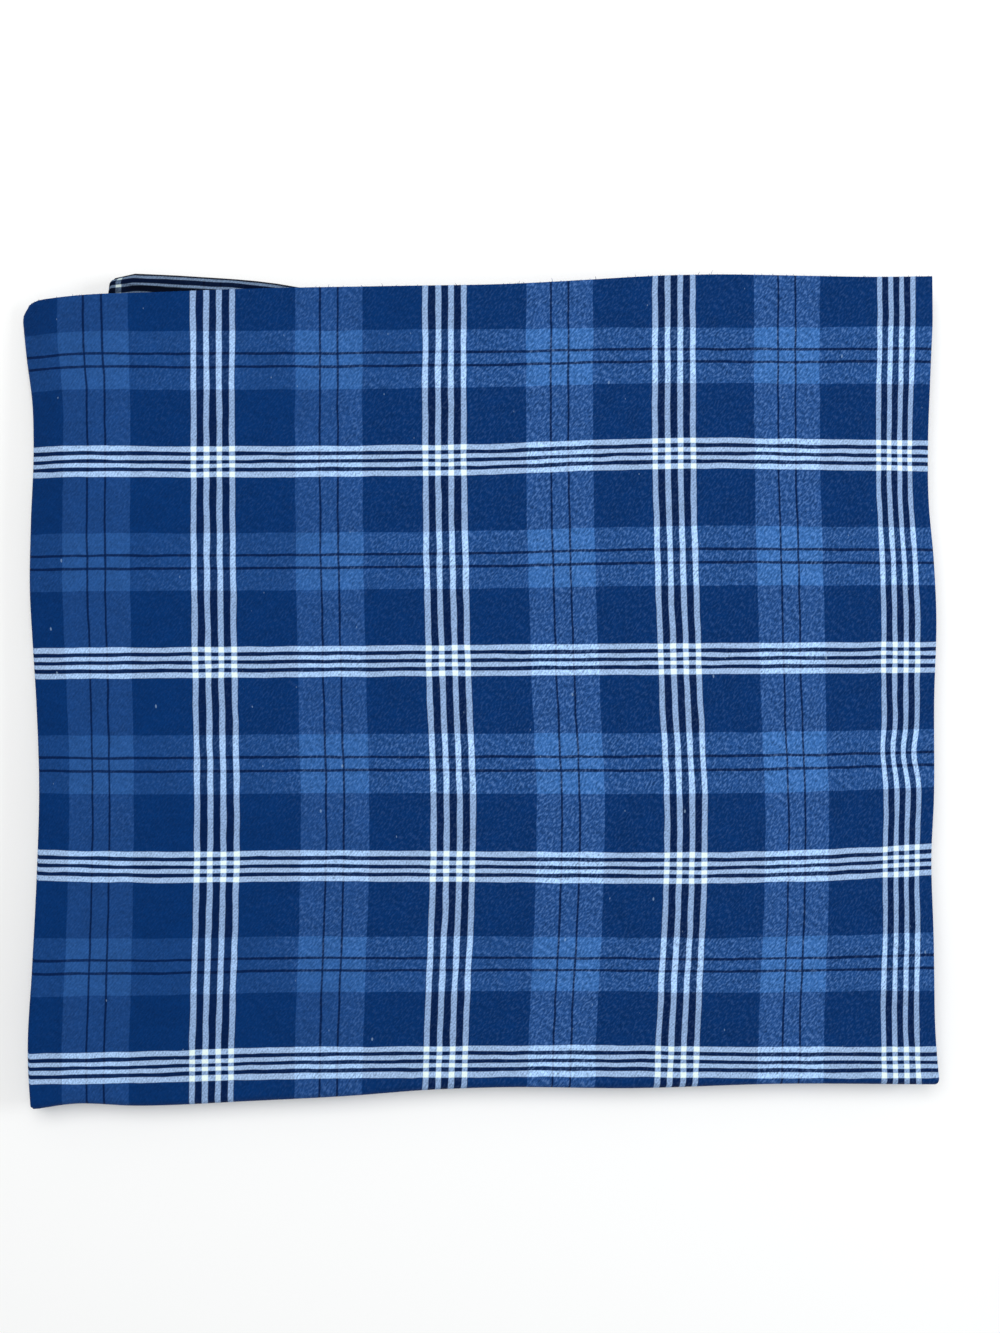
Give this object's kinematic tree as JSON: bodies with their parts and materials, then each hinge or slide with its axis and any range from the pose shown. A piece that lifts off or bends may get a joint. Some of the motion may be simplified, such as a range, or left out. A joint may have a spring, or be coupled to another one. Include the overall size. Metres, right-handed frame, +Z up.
{
  "type": "folded fabric length",
  "caption": "Length of plaid brushed cotton cloth folded lengthwise in quarters and then crosswise in a flat zigzag stack whose leaves open like pages.",
  "frame": {"origin": "on the table under the middle of the stack's box", "axes": "+X along the crosswise folds, +Y from the bottom folds to the top fold, +Z up out of the stack"},
  "size_m": [0.381, 0.3496, 0.0134],
  "materials": {
    "panel_cloth": "brushed cotton twill, yarn-dyed plaid",
    "bend_cloth": "brushed cotton twill, yarn-dyed plaid"
  },
  "bodies": {
    "back_leaf": {"back_panel_1": "panel_cloth", "back_panel_2": "panel_cloth", "back_panel_3": "panel_cloth", "back_panel_4": "panel_cloth", "back_outer_side_fold": "bend_cloth", "back_inner_side_fold": "bend_cloth", "back_centre_fold": "bend_cloth"},
    "third_leaf": {"third_panel_1": "panel_cloth", "third_panel_2": "panel_cloth", "third_panel_3": "panel_cloth", "third_panel_4": "panel_cloth", "third_outer_side_fold": "bend_cloth", "third_inner_side_fold": "bend_cloth", "third_centre_fold": "bend_cloth"},
    "second_leaf": {"second_panel_1": "panel_cloth", "second_panel_2": "panel_cloth", "second_panel_3": "panel_cloth", "second_panel_4": "panel_cloth", "second_outer_side_fold": "bend_cloth", "second_inner_side_fold": "bend_cloth", "second_centre_fold": "bend_cloth"},
    "front_leaf": {"front_panel_1": "panel_cloth", "front_panel_2": "panel_cloth", "front_panel_3": "panel_cloth", "front_panel_4": "panel_cloth", "front_outer_side_fold": "bend_cloth", "front_inner_side_fold": "bend_cloth", "front_centre_fold": "bend_cloth"}
  },
  "joints": [
    {"name": "third_leaf_fold", "type": "hinge", "parent": "back_leaf", "child": "third_leaf", "pos_m": [0, -0.17032, 0.0032], "axis": [0.9997, 0.0244, 0], "range_deg": [0, 180]},
    {"name": "second_leaf_fold", "type": "hinge", "parent": "third_leaf", "child": "second_leaf", "pos_m": [0, 0.16548, 0.0067], "axis": [-0.9983, 0.0576, 0], "range_deg": [0, 180]},
    {"name": "front_leaf_fold", "type": "hinge", "parent": "second_leaf", "child": "front_leaf", "pos_m": [0, -0.17032, 0.0102], "axis": [0.9997, 0.0244, 0], "range_deg": [0, 180]}
  ]
}
